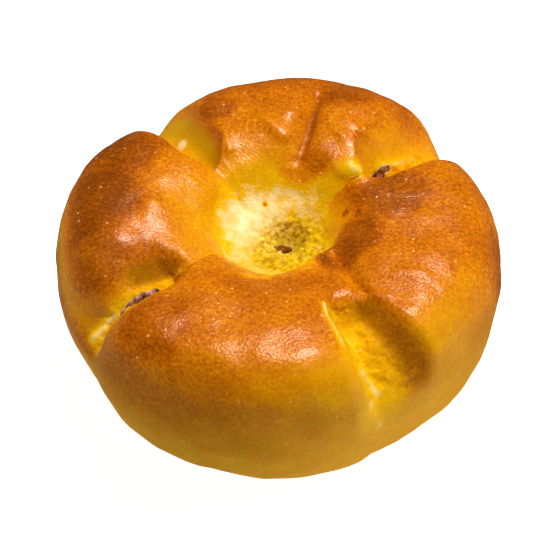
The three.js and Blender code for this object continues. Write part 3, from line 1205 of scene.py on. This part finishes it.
@dataclass(frozen=True)
class Dough:
    """Baked dough: the bun's skin with its fine relief, torn open down to the paste."""

    form: BunForm
    paste: BeanPaste
    hole: Tear
    # each with its points, width, depth and, where it has its own, browning
    grooves: tuple[Groove, ...] = (
        # crease between the front and the right petal, from the pit to the slit
        Groove(
            ((12.2, -6.5, 39.0), (14.8, -12.8, 41.3), (16.2, -17.5, 42.0), (18.5, -21.4, 41.9)),
            3.0, 1.8, 0.7,
        ),
        # sharp line in the back petal's fold, darkened and made matte with painted shade
        Groove(
            ((9.3, 40.0, 43.5), (8.7, 33.0, 43.8), (6.9, 26.4, 43.9), (4.9, 20.5, 41.8)),
            2.4, 0.7, 1.1, damp=0.5,
        ),
        # wrinkles at the right petal's inner edge
        Groove(((14.6, 4.4, 40.0), (18.1, 3.8, 42.1), (20.5, 5.0, 42.8)), 1.4, 0.6, 1.0),
        Groove(((14.0, 2.3, 39.4), (17.2, 0.5, 41.4)), 1.2, 0.5, 1.0),
        # thin lip along the slit between the front and the right petal, and the crack behind it
        Groove(
            ((9.9, -26.2, 43.6), (10.2, -30.0, 43.9), (11.6, -33.0, 43.5), (13.6, -37.3, 42.3)),
            1.6, -0.5, 0.04,
        ),
        Groove(((11.4, -30.5, 43.0), (12.8, -33.4, 42.3)), 1.0, 1.2, 0.9),
        # torn crumb that stands up in that slit
        Groove(((17.6, -40.2, 36.6), (19.5, -40.4, 32.9), (21.1, -41.3, 31.0)), 2.8, -0.5, 0.12),
        Groove(((15.6, -30.6, 36.0), (17.2, -32.9, 35.5)), 3.2, -0.3, 0.16),
        # dents in the right petal, low beside that slit
        Groove(((28.0, -38.9, 30.2), (28.9, -38.0, 31.6)), 1.2, 0.5, 0.8),
        Groove(((28.6, -37.2, 32.3), (29.4, -36.4, 33.3)), 1.0, 0.4, 0.8),
        # lip of torn crumb along the front petal's edge in the front left slit
        Groove(((-36.4, -21.4, 33.6), (-38.9, -22.4, 31.2), (-41.0, -23.6, 28.6)), 2.4, -0.4, 0.1),
        # rounded end of the back right slit, and the pale edge of its bottom
        Groove(((17.0, 15.4, 44.1), (18.5, 15.4, 43.1)), 5.4, -1.2, 0.14),
        Groove(((25.4, 22.0, 38.0), (28.6, 24.6, 37.0), (31.9, 27.4, 35.1)), 1.6, -0.3, 0.08),
        # ridge of the seam between the back and the left petal
        Groove(((-19.2, 11.5, 44.4), (-16.8, 10.1, 43.4), (-14.4, 9.3, 41.8)), 2.0, -0.3),
        # pale lip of the pit on the front petal
        Groove(((-7.0, -16.2, 41.5), (-3.8, -16.6, 41.6), (-1.5, -15.0, 41.0)), 2.2, -0.2, 0.12),
        # ridges on the back petal
        Groove(((-4.1, 31.8, 46.0), (-1.3, 27.4, 46.0), (1.3, 25.2, 45.3)), 3.6, -0.7),
        Groove(((-1.0, 36.2, 45.9), (2.4, 32.1, 46.4), (4.6, 31.8, 45.8)), 3.6, -0.7),
        Groove(((-13.2, 30.9, 43.9), (-12.6, 26.2, 44.0), (-11.6, 22.5, 43.2)), 2.6, -0.5),
        Groove(((15.5, 29.3, 46.5), (17.7, 27.4, 46.3), (20.4, 26.0, 44.8)), 2.6, -0.45),
        Groove(((13.0, 26.5, 46.4), (15.0, 23.5, 46.0)), 2.4, -0.45),
        Groove(((11.4, 17.4, 45.1), (14.4, 15.0, 42.5)), 2.2, -0.3),
        # shallow dents in the front petal
        Groove(((-12.4, -34.5, 44.0), (-12.0, -40.0, 43.2)), 2.4, 0.16),
        Groove(((-8.8, -37.0, 43.9), (-8.2, -43.0, 42.4)), 2.2, 0.14),
        Groove(((-6.6, -42.0, 42.8), (-6.2, -47.0, 40.2)), 2.2, 0.16),
        # rise in the front petal
        Groove(((4.5, -36.0, 43.8), (8.0, -39.5, 43.0)), 11.0, -0.9),
        # rise in the left petal
        Groove(((-29.5, 0.8, 44.2), (-28.5, 3.6, 44.2)), 5.0, -0.4),
        # matte edge of the left petal over the slit, darkened with painted shade
        Groove(
            ((-31.0, -6.8, 43.3), (-26.8, -7.8, 42.3), (-24.5, -9.5, 41.4), (-22.4, -11.3, 40.6)),
            4.0, 0.0, 0.85, damp=0.3,
        ),
        # ridges on the right petal
        Groove(
            ((26.0, -16.6, 43.0), (31.0, -17.2, 43.0), (34.8, -19.6, 42.1), (36.0, -23.0, 41.2)),
            2.4, -0.3,
        ),
        Groove(((24.0, -23.0, 42.6), (28.0, -24.0, 42.2)), 2.0, -0.25),
        # browner band along the back petal's outer edge
        Groove(((-12.0, 44.0, 41.0), (8.0, 46.0, 42.0), (28.0, 39.0, 39.0)), 15.0, 0.0, 1.05),
        # darker rim of the front petal at the pit, painted shade
        Groove(((-10.0, -19.0, 43.5), (-1.0, -20.0, 43.9), (8.0, -17.0, 42.6)), 8.0, 0.0, 1.0),
        # paler band low on the left petal, painted light
        Groove(
            ((-47.5, 14.0, 36.0), (-49.8, 0.0, 35.5), (-48.8, -10.0, 34.5), (-46.6, -17.0, 32.0)),
            9.0, 0.0, 0.45,
        ),
        # wrinkles low on the front petal
        Groove(((-18.2, -48.6, 24.0), (-12.1, -50.6, 24.0)), 1.6, 0.35),
    )
    spots: tuple[Spot, ...] = (
        # dark specks round the pit, and painted shade where the back petal's fold meets it
        Spot((-3.2, 12.4, 35.3), 0.9, 0.75),
        Spot((-5.0, 4.1, 33.7), 0.4, 1.0),
        Spot((-8.7, -14.9, 41.8), 0.5, 0.8),
        Spot((-6.9, -16.1, 42.1), 0.6, 0.7),
        Spot((5.0, 18.6, 42.0), 6.5, 0.66),
        Spot((15.3, 5.9, 38.7), 1.3, 1.15),
        Spot((18.1, 3.9, 40.7), 1.3, 1.3),
        # painted shade on the petals: their outer flanks and rims, the fold, the crease and the inner slopes
        # that face away from the light
        Spot((-41.5, 6.0, 40.5), 14.0, 1.35),
        Spot((-40.5, -11.0, 38.8), 9.0, 1.0, damp=0.4),
        Spot((-35.0, 21.0, 43.0), 9.0, 1.25),
        Spot((-14.5, 37.0, 44.0), 6.0, 1.25),
        Spot((15.5, 40.5, 43.5), 9.0, 1.25),
        Spot((-26.0, -32.0, 43.0), 11.0, 1.05),
        Spot((9.0, 21.0, 44.5), 7.0, 0.85),
        Spot((17.0, -3.5, 40.5), 8.5, 1.2),
        Spot((26.0, 9.0, 43.0), 11.0, 1.2),
        Spot((13.5, -8.0, 39.5), 7.0, 1.35),
        Spot((46.5, -6.0, 35.0), 11.0, 1.0),
        # painted light low in the slit between the front and the right petal, then pale spots and crumbs in
        # the slits
        Spot((21.5, -44.5, 28.0), 8.0, 0.28),
        Spot((23.6, 22.2, 39.0), 2.4, 0.24),
        Spot((19.9, -44.3, 31.0), 1.6, 0.16),
        Spot((21.7, -45.1, 24.9), 1.2, 0.1),
        Spot((-22.8, 31.5, 35.8), 2.0, 0.05),
    )
    columns_per_petal: int = 104
    swell_size: float = 17.0  # mm, slow unevenness of the petals
    swell_depth: float = 0.7
    ripple_size: float = 6.5
    ripple_depth: float = 0.25
    sink: float = 0.2  # keeps the uneven skin within the plain form's box
    torn_size: float = 2.4
    torn_depth: float = 0.7
    torn_bake: float = 0.25  # how brown torn crumb is
    sponge_size: float = 1.6
    sponge_depth: float = 0.9
    level_height: float = 6.0  # the relief fades out below this height, so that the base is flat
    low_bake: float = 0.34  # how brown the flank baked at the bottom
    flank_height: Pair = (14.0, 42.0)  # from and to which it browns as much as the petals
    sole_bake: float = 0.95  # how brown the base baked
    sole_height: float = 2.5  # over which that fades out
    sunny_azimuth: float = 300.0  # painted light: where the flank is painted palest, on the side the light falls on
    sunny_width: float = 40.0  # degrees
    sunny_outward: Pair = (0.1, 0.8)  # how far outward that starts and is full
    sunny_bake: float = -0.5  # how much paler it is painted there
    shade_azimuth: float = 243.0  # where the low flank has most painted shade, which also makes it matte
    shade_width: float = 48.0  # degrees
    shade_height: Pair = (27.0, 44.0)  # over which that fades out
    wrinkle_radius: Pair = (14.0, 20.0)  # where the wrinkles start and are full, out from the pit
    wrinkle_height: Pair = (34.0, 41.0)  # where they end and are full, on the flank
    grain_turn: float = 50.0  # sets how close the wrinkles round the bun are
    grain_run: float = 6.0  # mm, how long they run

    def build(self, crust: Material, crumb: Material) -> Piece:
        """Builds the dough and tears it open.

        Args:
            crust: material of its skin.
            crumb: material of its torn inside.

        Returns:
            The finished piece.
        """
        columns = self.columns_per_petal * len(self.form.slits)
        dough = finished(revolve(self.form.body.points(), columns), "dough_crust", [crust, crumb])
        mesh = dough.data
        at = self.form.places(read(mesh.vertices, "co") / MM)
        points = self.form.skin(at)
        move(mesh, points)
        points = points + read(mesh.vertex_normals, "vector") * self.relief(at, points)[:, None]
        move(mesh, points)
        self.tint(mesh, at, points)
        room = self.paste.cake(self.paste.clearance)
        for opening in [room, *(tear.lens() for tear in (*self.paste.tears, self.hole))]:
            for face in opening.faces:
                face.material_index = 1
            combine(dough, finished(opening, "opening", [crust, crumb]), Cut.TAKE_AWAY)
        weld(dough.data)
        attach(dough, "root")
        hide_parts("dough")
        return dough

    def torn(self, at: Places) -> Values:
        """How far each vertex lies in torn crumb at a slit's bottom, from 0 to 1."""
        return np.max([slit.crumb(at) for slit in self.form.slits], axis=0)

    def sole(self, at: Places) -> Values:
        """1 on the base, falling to 0 just above it."""
        return 1.0 - smooth(at.height, 0.0, self.sole_height)

    def relief(self, at: Places, points: Values) -> Values:
        """Fine relief of the skin.

        Args:
            at: the vertices on the round body.
            points: their points on the skin.

        Returns:
            How far each vertex moves outwards, in millimetres.
        """
        uneven = self.swell_depth * lumps(points, self.swell_size, seed=8.03) - self.sink
        uneven += self.ripple_depth * lumps(points, self.ripple_size, seed=5.0)
        torn = self.torn(at) * self.torn_depth * lumps(points, self.torn_size, seed=9.0, octaves=3)
        spongy = self.form.pit.spongy(at, points)
        foam = -spongy * self.sponge_depth * (1.0 - bubbles(points, self.sponge_size, seed=2.0))
        pressed = np.sum([groove.depth * groove.cover(points) for groove in self.grooves], axis=0)
        return (uneven + torn + foam - pressed) * smooth(at.height, 0.0, self.level_height)

    def baked(self, at: Places, points: Values) -> Values:
        """How brown the skin is without its spots and grooves.

        Args:
            at: the vertices on the round body.
            points: their points on the skin.

        Returns:
            A value for each vertex, as in Tint.BAKE.
        """
        petals = self.form.petals
        # painted light: the flank is paler on the side the light falls on
        sunny = bell(at.angle_from(self.sunny_azimuth), self.sunny_width)
        sunny = sunny * smooth(at.outward, *self.sunny_outward)
        top = pick(petals, "bake", at.petal) + self.sunny_bake * sunny
        flank = lerp(self.low_bake, top, smooth(at.height, *self.flank_height))
        starts, ends = pick(petals, "browns", at.petal).T
        upper = lerp(pick(petals, "rim_bake", at.petal), flank, smooth(at.radius, starts, ends))
        bake = np.where(at.height > self.form.body.equator, upper, flank)
        bake = lerp(bake, self.sole_bake, self.sole(at))
        for slit in self.form.slits:
            bake = lerp(bake, slit.beside(at, "bake"), slit.walled(at))
        bake = lerp(bake, self.torn_bake, self.torn(at))
        return lerp(bake, self.form.pit.bake(at, points), self.form.pit.pale(at, points))

    def shaded_and_matte(self, at: Places, points: Values) -> Values:
        """Painted shade on the skin, which also makes it matte, without its spots and grooves.

        Args:
            at: the vertices on the round body.
            points: their points on the skin.

        Returns:
            A value from 0 to 1 for each vertex.
        """
        low = (1.0 - self.sole(at)) * (1.0 - smooth(at.height, *self.shade_height))
        shaded = low * bell(at.angle_from(self.shade_azimuth), self.shade_width) * (1.0 - self.torn(at))
        slits = [slit.damp(at) for slit in self.form.slits]
        return np.max([self.form.pit.shade_behind_hole(points), shaded, *slits], axis=0)

    def grain(self, at: Places) -> Values:
        """Coordinates that run round the bun and out from its middle.

        Args:
            at: the vertices on the round body.

        Returns:
            One row for each vertex.
        """
        angle = np.radians(at.azimuth)
        run = (at.radius + self.form.body.top - at.height) / self.grain_run
        return np.stack([self.grain_turn * np.cos(angle), self.grain_turn * np.sin(angle), run], axis=1)

    def tint(self, mesh: Mesh, at: Places, points: Values) -> None:
        """Writes the per-vertex values that the crust's finish reads.

        Args:
            mesh: the skin's mesh.
            at: its vertices on the round body.
            points: their points on the skin.
        """
        bake = self.baked(at, points)
        damp = self.shaded_and_matte(at, points)
        # the spots and grooves lay their own browning over the skin, much of it painted shade and some
        # painted light
        for mark in (*self.spots, *(groove for groove in self.grooves if groove.bake is not None)):
            cover = mark.cover(points)
            bake = lerp(bake, mark.bake, cover)
            damp = lerp(damp, mark.damp, cover)
        outer = smooth(at.height, *self.wrinkle_height)
        wrinkled = np.where(at.on_top, smooth(at.radius, *self.wrinkle_radius), outer)
        tints = {
            Tint.BAKE: bake,
            Tint.CRUMB: np.maximum(self.torn(at), self.form.pit.pale(at, points)),
            Tint.SHADE_AND_MATTE: damp,
            Tint.SPONGE: self.form.pit.spongy(at, points),
            Tint.WRINKLE: pick(self.form.petals, "pucker", at.petal) * wrinkled,
        }
        for name, values in tints.items():
            mesh.attributes.new(name.value, "FLOAT", "POINT").data.foreach_set("value", values)
        grain = mesh.attributes.new(Tint.GRAIN.value, "FLOAT_VECTOR", "POINT")
        grain.data.foreach_set("vector", self.grain(at).ravel())


@dataclass(frozen=True)
class Softbox:
    """Soft light that faces the bun."""

    name: str
    direction: Point
    distance: float  # m
    size: tuple[float, float]  # m
    brightness: float  # how brightly it lights a white card at the bun that faces it
    glints: bool = True  # whether it shows in glossy reflections

    def place(self, target: Vector) -> None:
        """Places the light.

        Args:
            target: what it faces, in metres.
        """
        lamp = bpy.data.lights.new(self.name, "AREA")
        lamp.shape = "RECTANGLE"
        lamp.size, lamp.size_y = self.size
        lamp.energy = self.brightness * (math.pi * self.distance) ** 2
        light = bpy.data.objects.new(self.name, lamp)
        light.visible_glossy = self.glints
        towards = Vector(self.direction).normalized()
        light.location = target + towards * self.distance
        light.rotation_euler = towards.to_track_quat("Z", "Y").to_euler()
        bpy.context.scene.collection.objects.link(light)


@dataclass(frozen=True)
class Studio:
    """Plain pale floor, soft light and the camera of the photograph."""

    floor_side: float = 3.0  # m
    softboxes: tuple[Softbox, ...] = (
        Softbox("side", (0.8, 0.0, 0.6), 1.0, (0.5, 0.5), 0.25, glints=False),
        Softbox("rim", (-0.95, 0.05, 0.3), 1.0, (0.4, 0.4), 0.09, glints=False),
        Softbox("overhead", (0.12, 0.25, 0.96), 0.9, (0.14, 0.2), 1.15),
    )
    sky: float = 0.03  # brightness of the even white light from all round
    elevation: float = 47.0  # degrees
    distance: float = 450.0  # mm, from the camera to its target
    span: float = 130.2  # mm, width of the picture at the target
    target: Point = (0.3, 0.0, 22.6)  # mm
    sensor: float = 36.0  # mm

    def build(self, finish: Material) -> None:
        """Builds the floor, the lights and the camera.

        Args:
            finish: the floor's material.
        """
        target = Vector(self.target) * MM
        self.lay_floor(finish)
        for softbox in self.softboxes:
            softbox.place(target)
        world = bpy.data.worlds.new("studio")
        world.use_nodes = True
        even = world.node_tree.nodes["Background"].inputs
        even["Color"].default_value = WHITE
        even["Strength"].default_value = self.sky
        bpy.context.scene.world = world
        bpy.context.scene.view_settings.view_transform = "Standard"
        self.set_camera(target)

    def lay_floor(self, finish: Material) -> None:
        """Lays the floor that the bun stands on.

        Args:
            finish: its material.
        """
        board = bmesh.new()
        bmesh.ops.create_grid(board, x_segments=1, y_segments=1, size=self.floor_side / 2 / MM)
        floor = finished(board, "floor", [finish])
        floor.visible_glossy = False

    def set_camera(self, target: Vector) -> None:
        """Sets the camera to the photograph's viewing angle.

        Args:
            target: what it looks at, in metres.
        """
        lens = bpy.data.cameras.new("camera")
        lens.sensor_width = self.sensor
        lens.lens = self.sensor * self.distance / self.span
        camera = bpy.data.objects.new("camera", lens)
        lift = math.radians(self.elevation)
        back = Vector((0.0, -math.cos(lift), math.sin(lift)))
        camera.location = target + back * self.distance * MM
        camera.rotation_euler = back.to_track_quat("Z", "Y").to_euler()
        bpy.context.scene.collection.objects.link(camera)
        bpy.context.scene.camera = camera


def report(piece: Piece) -> None:
    """Logs a piece's name and size."""
    sides = [round(side, 4) for side in piece.dimensions]
    LOG.info("%s: %d faces, %s", piece.name, len(piece.data.polygons), sides)


def main() -> None:
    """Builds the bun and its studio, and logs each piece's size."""
    logging.basicConfig(level=logging.INFO, format="%(name)s: %(message)s")
    tears = (
        Tear(azimuth=213.0, radius=36.0, height=34.5, length=13.0, width=3.2, depth=11.0, seed=3.0),
        Tear(azimuth=40.3, radius=30.4, height=35.0, length=7.6, width=1.2, depth=11.0, seed=7.0),
    )
    hole = Tear(
        azimuth=75.0, radius=4.2, height=29.0, length=4.6, width=2.3, depth=12.0,
        slope=0.0, turn=-60.0, seed=11.0,
    )
    crust = CrustFinish().material()
    crumb = CrumbFinish().material()
    paste = BeanPaste(tears)
    report(paste.build(PasteFinish().material()))
    report(Dough(BunForm(), paste, hole).build(crust, crumb))
    Studio().build(FloorFinish().material())


if __name__ == "__main__":
    main()
